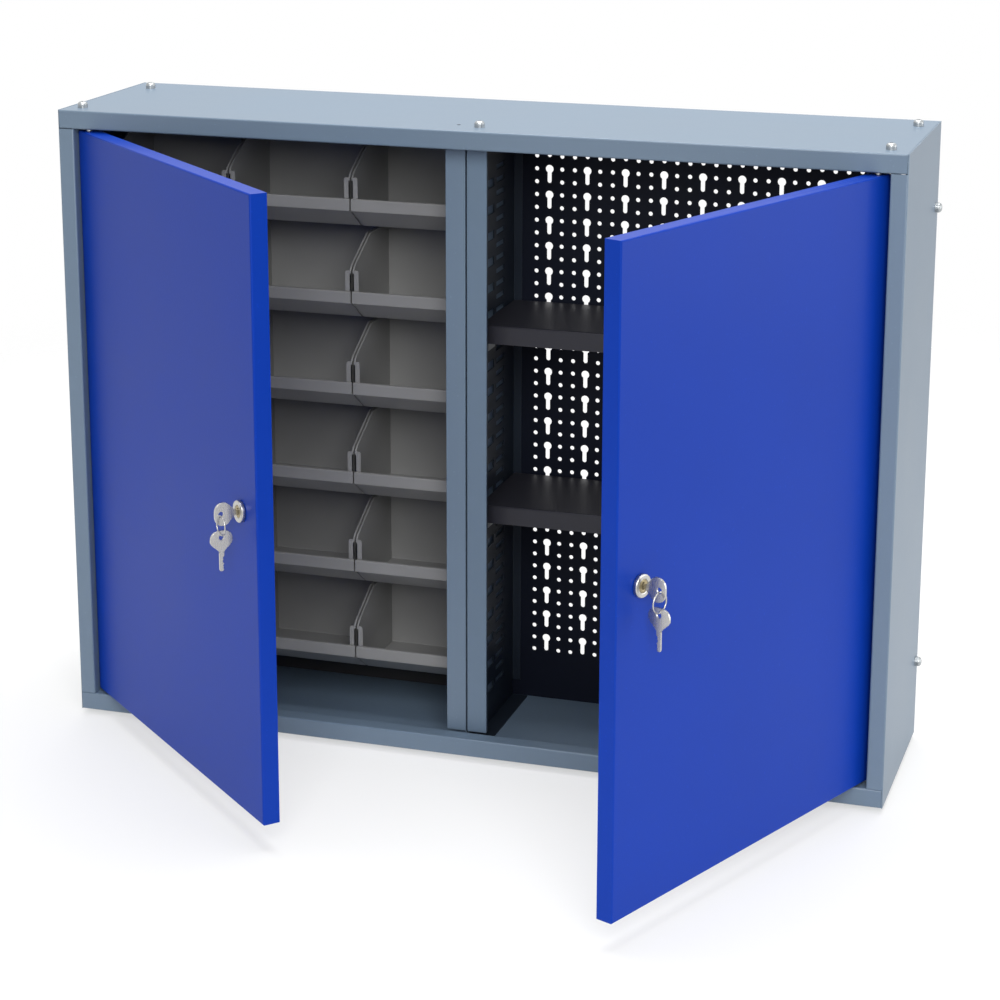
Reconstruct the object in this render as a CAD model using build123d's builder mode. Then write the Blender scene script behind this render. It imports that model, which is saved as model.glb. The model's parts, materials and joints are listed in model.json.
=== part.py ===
"""Wall tool cabinet with two hinged doors, storage bins, shelves and a perforated back.

Frame: millimetres, X to the right as seen from the front, Y from the doors towards the wall, Z up.
The origin is the middle of the wall plane, halfway between the upper and lower rows of wall screws.
"""

from build123d import *
from math import cos, radians, sin
import os

os.makedirs("parts", exist_ok=True)

# ---------------------------------------------------------------- driving dimensions
# Carcass
WIDTH = 800.0
HEIGHT = 600.0
DEPTH = 193.0
SHEET = 1.0  # sheet steel of the carcass
BEND = 1.6  # outer radius of a folded edge
LIP = 17.5  # height of the front lip of top and bottom
LIP_RETURN = 16.0  # depth of the lip's return, which carries the hinge pins
POST = 15.5  # width of the front flange of a side
POST_RETURN = 12.0
SIDE_REAR_FLANGE = 20.0
WALL_FLANGE = 40.0  # height of the rear flanges of top and bottom, which take the wall screws
SEAM = 0.2  # gap between sheets that meet
TAB = 24.0  # width of the tabs that join a side to top and bottom
TAB_FRONT = 18.0  # front of the tabs behind the front of the cabinet
TAB_REAR = 30.0  # rear of the tabs in front of the wall

# Middle partition: two folded panels back to back
DIVIDER_X = -3.0
DIVIDER_GAP = 1.6  # between the two webs, room for the hooks of the shelf clips
DIVIDER_SETBACK = 20.0  # its front behind the front of the cabinet
DIVIDER_FLANGE = 18.8
DIVIDER_RETURN = 5.0
DIVIDER_FOOT = 16.0  # width of the flanges on floor and ceiling
DIVIDER_REAR = 9.0

# Backs
BACK_SETBACK = 165.0  # front of the backs behind the front of the cabinet
BACK_WALL_GAP = 2.0
BACK_END_FLANGE = 12.0
ACCESS = 12.0  # opening for the screwdriver in front of a wall screw

# Perforation of the right back
PERF_PITCH_X = 37.5
PERF_PITCH_Z = 25.0
PERF_IN = 36.4  # first column from the edge of the sheet
PERF_DOWN = 33.9  # first row from the top of the sheet
PERF_SIDE_REST = 20.0  # least width left beyond the last column
PERF_FOOT_REST = 45.0  # least height left below the last row
KEYHOLE_HEAD = 8.6  # width at the top
KEYHOLE_TOP = 4.2  # top above the middle of the head
KEYHOLE_SLOT = 5.0  # width at the bottom
KEYHOLE_DROP = 14.0  # from the middle of the head to the bottom

# Wall screw holes
WALL_HOLE_R = 4.0
WALL_HOLE_IN = 33.0  # from the side of the cabinet
WALL_HOLE_DOWN = 23.0  # from its top or bottom

# Doors
DOOR_SHEET = 1.0
DOOR_THICK = 16.0
DOOR_BEND = 1.5
DOOR_INSET = 2.0  # face of a shut door behind the front of the cabinet
DOOR_SIDE_GAP = 3.5
DOOR_MEETING_GAP = 3.0
DOOR_END_GAP = 2.5
DOOR_RETURN = 12.0
PIVOT_FROM_EDGE = 8.5
OPEN_ANGLE = {"left": 42.2, "right": 67.2}
STIFFENER = 46.0
STIFFENER_HEIGHT = 11.0
STIFFENER_RIM = 12.0
STIFFENER_END_GAP = 14.0

# Hinges
PIN_R = 3.0
PIN_END = 8.0  # how far a pin reaches into the door
RUNNING = 0.05  # radial clearance of a running fit
FIXED = 0.1  # clearance round a part that is fixed in a hole

# Locks
LOCK_FROM_EDGE = 30.0
BEZEL_R = 9.8
BEZEL = 4.0
LOCK_R = 8.0
LOCK_FLATS = 13.6
LOCK_LENGTH = 24.2  # behind the face of the door
PLUG_R = 5.5
PLUG_RECESS = 0.4
TANG = 5.6
TANG_PROUD = 0.5
CAM = 2.2
CAM_WIDTH = 14.0
CAM_REACH = 26.0
CAM_CORNER = 4.0

# Keys
KEY = 2.0
KEY_BLADE = 6.0
KEY_TIP = -11.0  # places along the key, measured outwards from the face of the door
KEY_SHOULDER = 10.0
KEY_END = 25.5
KEY_HOLE = 19.5
KEY_HOLE_R = 2.5
KEY_HOLE_SIDES = 8
KEY_BOW = 21.0
KEY_CORNER = 4.5
RING_R = 8.6
RING_WIRE = 1.3
RING_SIDES = 12
RING_TOP = -1.5  # wire in the hole of the key, below the lock axis
SEAT = 0.3  # gap between loose pieces that rest on each other

# Bins
BIN_TOP_GAP = 14.0  # between the top row and the lower edge of the lip
BIN_ROW_GAP = 10.0
BIN_COLUMN_GAP = 1.5
BIN_SIDE_GAP = 1.7  # between the last column and the partition
BIN_SETBACK = 60.0
BIN_WIDTH = 122.5
BIN_WALL = 1.6
BIN_HEIGHT = 79.0
BIN_FRONT = 31.0
BIN_LIP = 12.0
BIN_LIP_PROUD = 2.5
BIN_TOE = 9.0  # how far the foot of the front stands back
BIN_EAR = 16.0  # upright front edge of a side above the low front
BIN_EAR_BACK = 6.0  # the corner above it, cut off this far back
BIN_EAR_UP = 9.2  # and this far up
BIN_EAR_FLANGE = 6.0
BIN_SLOPE_END = 48.0

# Bin rails and the hooks that hang on them
RAIL_SHEET = 1.5
RAIL_HEIGHT = 22.0
RAIL_HOOK = 5.6
HOOK_SHEET = 1.6
HOOK_WIDTH = 60.0
HOOK_DROP = 5.5
HOOK_PLAY = 0.5

# Slotted panels
SLOT_PITCH = 12.5
SLOT_FOOT = 37.0  # lowest slot above the underside of the cabinet
SLOT_HEAD = 50.5  # least height left above the highest slot
SLOT_HEIGHT = 4.6
SLOT_LENGTH = 25.0
SLOT_SETBACK = 107.0
TALL_SLOT_HEIGHT = 8.0
TALL_SLOT_SETBACK = 75.0
TALL_SLOT_PITCH = 25.0
LINER_GAP = 3.0  # between the right-hand slotted panel and the side of the cabinet
LINER_SETBACK = 60.0
LINER_SLOT_PITCH = 87.5

# Shelves
SHELF_SHEET = 1.2
SHELF_EDGE = 17.8
SHELF_SETBACK = 52.0
SHELF_END_GAP = 1.5
SHELF_RETURN = 9.0
SHELF_SLOT = {"upper": 28, "lower": 14}  # slot, counted from the lowest, that holds the clips
CLIP = 1.5
CLIP_LEDGE = 9.0
CLIP_WIDTH = 20.0
CLIP_LEG = 12.0
CLIP_HOOK = 1.2
CLIP_HOOK_DROP = 5.0

# ---------------------------------------------------------------- worked-out places
FRONT = -DEPTH
HALF_W = WIDTH / 2
HALF_H = HEIGHT / 2
INNER_W = HALF_W - SHEET
INNER_H = HALF_H - SHEET
MOUTH_W = HALF_W - POST
MOUTH_H = HALF_H - LIP
BACK_Y = FRONT + BACK_SETBACK
DIVIDER_Y = FRONT + DIVIDER_SETBACK
WALL_Z = HALF_H - WALL_HOLE_DOWN
WALL_X = HALF_W - WALL_HOLE_IN
SLOT_LOW_Z = -HALF_H + SLOT_FOOT
SLOT_SPAN = HEIGHT - SLOT_FOOT - SLOT_HEAD

DOOR_W = (2 * MOUTH_W - 2 * DOOR_SIDE_GAP - DOOR_MEETING_GAP) / 2
DOOR_TOP = MOUTH_H - DOOR_END_GAP
DOOR_FREE = DOOR_W - PIVOT_FROM_EDGE
DOOR_FACE = -DOOR_THICK / 2
PIVOT_X = MOUTH_W - DOOR_SIDE_GAP - PIVOT_FROM_EDGE
PIVOT_Y = FRONT + DOOR_INSET + DOOR_THICK / 2
LOCK_ALONG = DOOR_FREE - LOCK_FROM_EDGE
CAM_FRONT = LOCK_LENGTH + SEAT
RING_BOTTOM = RING_TOP - 2 * RING_R
SPARE_HOLE_Z = RING_BOTTOM - KEY_HOLE_R + RING_WIRE / 2 + SEAT

WEB_X = {"left": DIVIDER_X - DIVIDER_GAP / 2, "right": DIVIDER_X + DIVIDER_GAP / 2}
BAY_LEFT = WEB_X["right"] + SHEET  # left face of the right-hand compartment
BAY_RIGHT = INNER_W - LINER_GAP - SHEET
BAY_MIDDLE = (BAY_LEFT + BAY_RIGHT) / 2

SIDES = ("left", "right")
HAND = {"left": -1, "right": 1}

# Sketch planes of a door, drawn shut and left-handed about its own hinge axis
LOCK = Plane(origin=(LOCK_ALONG, DOOR_FACE, 0), x_dir=(1, 0, 0), z_dir=(0, 1, 0))
KEY_PLANE = Plane(origin=(LOCK_ALONG, DOOR_FACE, 0), x_dir=(0, -1, 0), z_dir=(1, 0, 0))
SPARE_KEY_PLANE = Plane(
    origin=(LOCK_ALONG, DOOR_FACE - KEY_HOLE, SPARE_HOLE_Z - KEY_HOLE),
    x_dir=(0, 0, 1),
    z_dir=(1, 0, 0),
)
RING_PLANE = Plane(
    origin=(LOCK_ALONG, DOOR_FACE - KEY_HOLE, RING_TOP - RING_R),
    x_dir=(1, 0, 0),
    z_dir=(0, 1, 0),
)


# ---------------------------------------------------------------- helpers
def keep(piece, name):
    """Labels a finished piece and writes it to its STEP file."""
    piece.label = name
    export_step(piece, f"parts/{name}.step")


def block(x, y, z, mode=Mode.ADD):
    """Adds or cuts the box that spans the three ranges."""
    with Locations(((x[0] + x[1]) / 2, (y[0] + y[1]) / 2, (z[0] + z[1]) / 2)):
        Box(x[1] - x[0], y[1] - y[0], z[1] - z[0], mode=mode)


def drill(radius, length, places, rotation=(0, 0, 0)):
    """Cuts round holes, each centred on its place."""
    with Locations(*places):
        Cylinder(radius, length, rotation=rotation, mode=Mode.SUBTRACT)


def fold(points, thickness, side, plane=Plane.XY):
    """Section of a sheet folded along points, its thickness laid to one side of them."""
    with BuildSketch(plane) as section:
        with BuildLine():
            FilletPolyline(*points, radius=BEND)
            offset(amount=thickness, side=side)
        make_face()
    return section.sketch


def sharp_fold(points, thickness, side):
    """Section of an inner sheet, folded without a radius."""
    with BuildSketch() as section:
        with BuildLine():
            Polyline(*points)
            offset(amount=thickness, side=side, kind=Kind.INTERSECTION)
        make_face()
    return section.sketch


def for_hand(piece, side):
    """A piece drawn for the left, or its mirror image for the right."""
    return piece if side == "left" else mirror(piece, about=Plane.YZ)


def keep_on_door(piece, side, name):
    """Puts a piece drawn about the hinge of a shut left door on its open door."""
    handed = piece if side == "left" else mirror(piece, about=Plane.XZ)
    angle = radians(OPEN_ANGLE[side])
    hinge = Plane(
        origin=(HAND[side] * PIVOT_X, PIVOT_Y, 0),
        x_dir=(-HAND[side] * cos(angle), -sin(angle), 0),
        z_dir=(0, 0, 1),
    )
    with BuildPart(hinge) as placed:
        add(handed)
    keep(placed.part, name)


def lock_hole(play):
    """Section of the lock barrel, round with two flats, grown by a play."""
    with BuildSketch(LOCK) as section:
        Circle(LOCK_R + play)
        Rectangle(LOCK_FLATS + 2 * play, 3 * LOCK_R, mode=Mode.INTERSECT)
    return section.sketch


def key_on(plane):
    """A flat key whose length runs along the plane's X."""
    half_blade = KEY_BLADE / 2
    half_bow = KEY_BOW / 2
    with BuildPart() as key:
        with BuildSketch(plane):
            with BuildLine():
                Polyline(
                    (KEY_TIP, -half_blade / 2),
                    (KEY_TIP + half_blade, -half_blade),
                    (KEY_SHOULDER, -half_blade),
                    (KEY_SHOULDER, -half_bow + KEY_CORNER),
                    (KEY_SHOULDER + KEY_CORNER, -half_bow),
                    (KEY_END - KEY_CORNER, -half_bow),
                    (KEY_END, -half_bow + KEY_CORNER),
                    (KEY_END, half_bow - KEY_CORNER),
                    (KEY_END - KEY_CORNER, half_bow),
                    (KEY_SHOULDER + KEY_CORNER, half_bow),
                    (KEY_SHOULDER, half_bow - KEY_CORNER),
                    (KEY_SHOULDER, half_blade),
                    (KEY_TIP, half_blade),
                    close=True,
                )
            make_face()
            with Locations((KEY_HOLE, 0)):
                RegularPolygon(KEY_HOLE_R, KEY_HOLE_SIDES, major_radius=False, mode=Mode.SUBTRACT)
        extrude(amount=KEY / 2, both=True)
    return key.part


def cut_slots(x, tall_pitch, low_pitch):
    """Cuts a front column of tall slots and a rear column of low ones through the web at x."""
    columns = (
        (FRONT + TALL_SLOT_SETBACK, TALL_SLOT_HEIGHT, tall_pitch),
        (FRONT + SLOT_SETBACK, SLOT_HEIGHT, low_pitch),
    )
    for y, height, pitch in columns:
        for row in range(int(SLOT_SPAN // pitch) + 1):
            z = SLOT_LOW_Z + row * pitch
            span = (z - height / 2, z + height / 2)
            block((x - SHEET, x + SHEET), (y, y + SLOT_LENGTH), span, Mode.SUBTRACT)


# ---------------------------------------------------------------- top and bottom
with BuildPart() as deck:
    extrude(
        fold(
            [
                (FRONT + LIP_RETURN, MOUTH_H),
                (FRONT, MOUTH_H),
                (FRONT, HALF_H),
                (0, HALF_H),
                (0, HALF_H - WALL_FLANGE),
            ],
            SHEET,
            Side.RIGHT,
            Plane.YZ,
        ),
        amount=INNER_W - SEAM,
        both=True,
    )
    drill(WALL_HOLE_R, 4 * SHEET, [(-WALL_X, 0, WALL_Z), (WALL_X, 0, WALL_Z)], (90, 0, 0))

keep(deck.part, "top_panel")
keep(mirror(deck.part, about=Plane.XY), "bottom_panel")

# ---------------------------------------------------------------- sides
with BuildPart() as side_panel:
    extrude(
        fold(
            [
                (-MOUTH_W, FRONT + POST_RETURN),
                (-MOUTH_W, FRONT),
                (-HALF_W, FRONT),
                (-HALF_W, 0),
                (-HALF_W + SIDE_REAR_FLANGE, 0),
            ],
            SHEET,
            Side.RIGHT,
        ),
        amount=HALF_H,
        both=True,
    )
    for end in (-1, 1):
        lip_end = sorted((end * (MOUTH_H - SEAM), end * (HALF_H + SHEET)))
        flange_end = sorted((end * (HALF_H - WALL_FLANGE - SEAM), end * (HALF_H + SHEET)))
        tab = sorted((end * INNER_H, end * (INNER_H - SHEET)))
        inward = (-INNER_W, -INNER_W + TAB)
        block(inward, (FRONT - SHEET, FRONT + POST_RETURN + SHEET), lip_end, Mode.SUBTRACT)
        block(inward, (-2 * SHEET, SHEET), flange_end, Mode.SUBTRACT)
        block((-HALF_W + SHEET / 2, -INNER_W + TAB), (FRONT + TAB_FRONT, -TAB_REAR), tab)
for side in SIDES:
    keep(for_hand(side_panel.part, side), f"{side}_side_panel")

# ---------------------------------------------------------------- middle partition
with BuildPart() as divider:
    web_x = WEB_X["left"]
    extrude(
        sharp_fold(
            [
                (web_x - DIVIDER_FLANGE, DIVIDER_Y + DIVIDER_RETURN),
                (web_x - DIVIDER_FLANGE, DIVIDER_Y),
                (web_x, DIVIDER_Y),
                (web_x, BACK_Y),
                (web_x - DIVIDER_REAR, BACK_Y),
            ],
            SHEET,
            Side.LEFT,
        ),
        amount=MOUTH_H,
        both=True,
    )
    for end in (-1, 1):
        foot = sorted((end * INNER_H, end * (INNER_H - SHEET)))
        web = sorted((end * INNER_H, end * (MOUTH_H - SHEET)))
        run = (DIVIDER_Y + 2 * SHEET, BACK_Y - 2 * SHEET)
        block((web_x - SHEET, web_x), run, web)
        block((web_x - SHEET - DIVIDER_FOOT, web_x - SHEET / 2), run, foot)

with BuildPart() as divider_right_panel:
    add(mirror(divider.part, about=Plane.YZ.offset(DIVIDER_X), mode=Mode.PRIVATE))
    cut_slots(WEB_X["right"] + SHEET / 2, TALL_SLOT_PITCH, SLOT_PITCH)
keep(divider.part, "divider_left_panel")
keep(divider_right_panel.part, "divider_right_panel")

# ---------------------------------------------------------------- slotted panel on the right
with BuildPart() as right_slotted_panel:
    extrude(
        sharp_fold(
            [
                (INNER_W - SEAM, FRONT + LINER_SETBACK),
                (BAY_RIGHT, FRONT + LINER_SETBACK),
                (BAY_RIGHT, BACK_Y - SHEET),
                (INNER_W - SEAM, BACK_Y - SHEET),
            ],
            SHEET,
            Side.RIGHT,
        ),
        amount=MOUTH_H,
        both=True,
    )
    cut_slots(BAY_RIGHT + SHEET / 2, LINER_SLOT_PITCH, LINER_SLOT_PITCH)
keep(right_slotted_panel.part, "right_slotted_panel")


# ---------------------------------------------------------------- backs
def back_flanges(x):
    """Flanges from the rear of a back towards the wall, round its edge over the range x."""
    half = INNER_H - SEAM
    start = BACK_Y + SHEET
    deep = (start, -BACK_WALL_GAP)
    block((x[0], x[0] + SHEET), deep, (-half, half))
    block((x[1] - SHEET, x[1]), deep, (-half, half))
    block(x, (start, start + BACK_END_FLANGE), (half - SHEET, half))
    block(x, (start, start + BACK_END_FLANGE), (-half, -half + SHEET))


def access_openings(x):
    """Cuts the openings through which the wall screws at x are driven."""
    half = ACCESS / 2
    for z in (-WALL_Z, WALL_Z):
        through = (BACK_Y - SHEET, BACK_Y + 2 * SHEET)
        block((x - half, x + half), through, (z - half, z + half), Mode.SUBTRACT)


back_left = (-INNER_W + SEAM, DIVIDER_X - SEAM / 2)
back_right = (DIVIDER_X + SEAM / 2, INNER_W - SEAM)

with BuildPart() as rear_panel_left:
    block(back_left, (BACK_Y, BACK_Y + SHEET), (-INNER_H + SEAM, INNER_H - SEAM))
    back_flanges(back_left)
    access_openings(-WALL_X)
keep(rear_panel_left.part, "rear_panel_left")

back_width = back_right[1] - back_right[0]
back_height = 2 * (INNER_H - SEAM)
perf_columns = int((back_width - PERF_IN - PERF_SIDE_REST) // PERF_PITCH_X) + 1
perf_rows = int((back_height - PERF_DOWN - PERF_FOOT_REST) // PERF_PITCH_Z) + 1
perf_middle = (
    back_right[0] + PERF_IN + PERF_PITCH_X * (perf_columns - 1) / 2,
    back_height / 2 - PERF_DOWN - PERF_PITCH_Z * (perf_rows - 1) / 2,
)
with BuildPart() as rear_panel_right:
    with BuildSketch(Plane.XZ.offset(-BACK_Y)):
        with Locations(((back_right[0] + back_right[1]) / 2, 0)):
            Rectangle(back_width, back_height)
        with Locations(perf_middle):
            with GridLocations(PERF_PITCH_X, PERF_PITCH_Z, perf_columns, perf_rows):
                Polygon(
                    (-KEYHOLE_HEAD / 2, KEYHOLE_TOP),
                    (-KEYHOLE_SLOT / 2, -KEYHOLE_DROP),
                    (KEYHOLE_SLOT / 2, -KEYHOLE_DROP),
                    (KEYHOLE_HEAD / 2, KEYHOLE_TOP),
                    align=None,
                    mode=Mode.SUBTRACT,
                )
    extrude(amount=-SHEET)
    access_openings(WALL_X)
keep(rear_panel_right.part, "rear_panel_right")

with BuildPart() as rear_frame_right:
    back_flanges(back_right)
keep(rear_frame_right.part, "rear_frame_right")

# ---------------------------------------------------------------- doors
with BuildPart() as door_shell:
    reach = (-PIVOT_FROM_EDGE, DOOR_FREE)
    inside = (reach[0] + DOOR_SHEET, reach[1] - DOOR_SHEET)
    window = (reach[0] + DOOR_RETURN, reach[1] - DOOR_RETURN)
    block(reach, (DOOR_FACE, -DOOR_FACE), (-DOOR_TOP, DOOR_TOP))
    fillet(faces().sort_by(Axis.Y)[0].edges(), radius=DOOR_BEND)
    inner_top = DOOR_TOP - DOOR_SHEET
    hollow = (DOOR_FACE + DOOR_SHEET, -DOOR_FACE - DOOR_SHEET)
    block(inside, hollow, (-inner_top, inner_top), Mode.SUBTRACT)
    window_top = DOOR_TOP - DOOR_RETURN
    block(window, (0, DOOR_THICK), (-window_top, window_top), Mode.SUBTRACT)
    extrude(lock_hole(FIXED), amount=2 * DOOR_SHEET, both=True, mode=Mode.SUBTRACT)
    drill(PIN_R + RUNNING, 4 * DOOR_SHEET, [(0, 0, -DOOR_TOP), (0, 0, DOOR_TOP)])

with BuildPart() as door_stiffener:
    middle = (DOOR_FREE - PIVOT_FROM_EDGE) / 2
    half = STIFFENER / 2
    low = DOOR_FACE + DOOR_SHEET
    high = low + STIFFENER_HEIGHT
    extrude(
        sharp_fold(
            [
                (middle - half - STIFFENER_RIM, low),
                (middle - half, low),
                (middle - half, high),
                (middle + half, high),
                (middle + half, low),
                (middle + half + STIFFENER_RIM, low),
            ],
            DOOR_SHEET,
            Side.LEFT,
        ),
        amount=DOOR_TOP - STIFFENER_END_GAP,
        both=True,
    )

with BuildPart() as lock_body:
    extrude(lock_hole(0), amount=LOCK_LENGTH)
    with BuildSketch(LOCK):
        Circle(BEZEL_R)
    extrude(amount=-BEZEL)
    with BuildSketch(LOCK.offset(-BEZEL)):
        Circle(PLUG_R + RUNNING)
    extrude(amount=BEZEL + LOCK_LENGTH, mode=Mode.SUBTRACT)

with BuildPart() as lock_plug:
    with BuildSketch(LOCK.offset(PLUG_RECESS - BEZEL)):
        Circle(PLUG_R)
    extrude(amount=BEZEL - PLUG_RECESS + LOCK_LENGTH)
    with BuildSketch(LOCK.offset(LOCK_LENGTH)):
        Rectangle(TANG, TANG)
    extrude(amount=SEAT + CAM + TANG_PROUD)
    with BuildSketch(LOCK.offset(-BEZEL)):
        Rectangle(KEY + 2 * FIXED, KEY_BLADE + 2 * FIXED)
    extrude(amount=BEZEL - KEY_TIP + FIXED, mode=Mode.SUBTRACT)

with BuildPart() as lock_cam:
    with BuildSketch(LOCK.offset(CAM_FRONT)):
        with Locations((0, (CAM_REACH - CAM_WIDTH / 2) / 2)):
            Rectangle(CAM_WIDTH, CAM_REACH + CAM_WIDTH / 2)
        chamfer(vertices(), CAM_CORNER)
        Rectangle(TANG + 2 * FIXED, TANG + 2 * FIXED, mode=Mode.SUBTRACT)
    extrude(amount=CAM)

with BuildPart() as key_ring:
    turn = 180 / RING_SIDES
    with BuildSketch(RING_PLANE):
        RegularPolygon(RING_R + RING_WIRE / 2, RING_SIDES, major_radius=False, rotation=turn)
        RegularPolygon(
            RING_R - RING_WIRE / 2,
            RING_SIDES,
            major_radius=False,
            rotation=turn,
            mode=Mode.SUBTRACT,
        )
    extrude(amount=RING_WIRE / 2, both=True)

key = key_on(KEY_PLANE)
spare_key = key_on(SPARE_KEY_PLANE)
for side in SIDES:
    keep_on_door(door_shell.part, side, f"{side}_door_shell")
    keep_on_door(door_stiffener.part, side, f"{side}_door_stiffener")
    keep_on_door(lock_body.part, side, f"{side}_lock_body")
    keep_on_door(lock_plug.part, side, f"{side}_lock_plug")
    keep_on_door(lock_cam.part, side, f"{side}_lock_cam")
    keep_on_door(key, side, f"{side}_key")
    keep_on_door(key_ring.part, side, f"{side}_key_ring")
    keep_on_door(spare_key, side, f"{side}_spare_key")

# ---------------------------------------------------------------- hinge pins, welded to the lips
with BuildPart() as hinge_pins:
    for end in (-1, 1):
        with BuildSketch(Plane.XY.offset(end * MOUTH_H)):
            with Locations((-PIVOT_X, PIVOT_Y), (PIVOT_X, PIVOT_Y)):
                Circle(PIN_R)
        extrude(amount=-end * (DOOR_END_GAP + PIN_END))
keep(hinge_pins.part, "hinge_pins")

# ---------------------------------------------------------------- bins and their rails
RAIL_FRONT = BACK_Y - RAIL_HOOK
BIN_REAR = RAIL_FRONT - HOOK_PLAY
BIN_DEPTH = BIN_REAR - FRONT - BIN_SETBACK
HOOK_UNDERSIDE = BIN_HEIGHT - HOOK_SHEET
HOOK_TIP = HOOK_UNDERSIDE - HOOK_DROP
RAIL_LOW = HOOK_TIP - HOOK_PLAY - RAIL_SHEET
RAIL_LEG = HOOK_UNDERSIDE - SEAT
HOOK_REAR = BIN_DEPTH + RAIL_HOOK - RAIL_SHEET
BIN_HALF = BIN_WIDTH / 2
BIN_PITCH_X = BIN_WIDTH + BIN_COLUMN_GAP
BIN_PITCH_Z = BIN_HEIGHT + BIN_ROW_GAP
BIN_RIGHT_X = WEB_X["left"] - SHEET - BIN_SIDE_GAP
BIN_TOP_Z = MOUTH_H - BIN_TOP_GAP - BIN_HEIGHT  # underside of the top row
BIN_COLUMNS = int((BIN_RIGHT_X + INNER_W) // BIN_PITCH_X)
BIN_ROWS = int((BIN_TOP_Z + INNER_H) // BIN_PITCH_Z) + 1
EAR_TOP = BIN_FRONT + BIN_EAR

with BuildPart() as bin_shell:
    with BuildSketch(Plane.YZ):
        with BuildLine():
            Polyline(
                (BIN_TOE, 0),
                (BIN_DEPTH, 0),
                (BIN_DEPTH, BIN_HEIGHT),
                (BIN_SLOPE_END, BIN_HEIGHT),
                (BIN_EAR_BACK, EAR_TOP + BIN_EAR_UP),
                (0, EAR_TOP),
                (0, BIN_FRONT - BIN_LIP),
                close=True,
            )
        make_face()
    extrude(amount=BIN_HALF, both=True)
    with BuildSketch(Plane.YZ):
        with BuildLine():
            Polyline(
                (BIN_TOE + BIN_WALL, BIN_WALL),
                (BIN_DEPTH - BIN_WALL, BIN_WALL),
                (BIN_DEPTH - BIN_WALL, 2 * BIN_HEIGHT),
                (-BIN_TOE, 2 * BIN_HEIGHT),
                (-BIN_TOE, BIN_FRONT),
                (BIN_WALL, BIN_FRONT),
                (BIN_WALL, BIN_FRONT - BIN_LIP),
                close=True,
            )
        make_face()
    extrude(amount=BIN_HALF - BIN_WALL, both=True, mode=Mode.SUBTRACT)
    block((-BIN_HALF, BIN_HALF), (-BIN_LIP_PROUD, 0), (BIN_FRONT - BIN_LIP, BIN_FRONT))
    for hand in (-1, 1):
        ear = sorted((hand * BIN_HALF, hand * (BIN_HALF - BIN_EAR_FLANGE)))
        block(ear, (0, BIN_WALL), (BIN_FRONT - BIN_LIP, EAR_TOP))
    half_hook = (-HOOK_WIDTH / 2, HOOK_WIDTH / 2)
    block(half_hook, (BIN_DEPTH - BIN_WALL, HOOK_REAR), (HOOK_UNDERSIDE, BIN_HEIGHT))
    block(half_hook, (HOOK_REAR - HOOK_SHEET, HOOK_REAR), (HOOK_TIP, BIN_HEIGHT))

rail_right = WEB_X["left"] - DIVIDER_REAR - SEAT
rail_left = BIN_RIGHT_X + SEAT - BIN_WIDTH - (BIN_COLUMNS - 1) * BIN_PITCH_X
with BuildPart() as bin_rail:
    block((rail_left, rail_right), (BACK_Y - RAIL_SHEET, BACK_Y), (RAIL_LOW, RAIL_LOW + RAIL_HEIGHT))
    block((rail_left, rail_right), (RAIL_FRONT, BACK_Y), (RAIL_LOW, RAIL_LOW + RAIL_SHEET))
    block((rail_left, rail_right), (RAIL_FRONT, RAIL_FRONT + RAIL_SHEET), (RAIL_LOW, RAIL_LEG))

for row in range(BIN_ROWS):
    row_z = BIN_TOP_Z - row * BIN_PITCH_Z
    keep(Pos(0, 0, row_z) * bin_rail.part, f"bin_rail_row_{row + 1}")
    for column in range(BIN_COLUMNS):
        bin_x = BIN_RIGHT_X - BIN_HALF - (BIN_COLUMNS - 1 - column) * BIN_PITCH_X
        place = Pos(bin_x, FRONT + BIN_SETBACK, row_z)
        keep(place * bin_shell.part, f"bin_row_{row + 1}_column_{column + 1}")

# ---------------------------------------------------------------- shelves and their clips
SHELF_LEFT = BAY_LEFT + SHELF_END_GAP
SHELF_RIGHT = BAY_RIGHT - SHELF_END_GAP
SHELF_FRONT = FRONT + SHELF_SETBACK
SHELF_REAR = BACK_Y - SHELF_END_GAP
CLIP_BACK = DIVIDER_GAP - (DIVIDER_GAP - CLIP_HOOK) / 2

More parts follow.
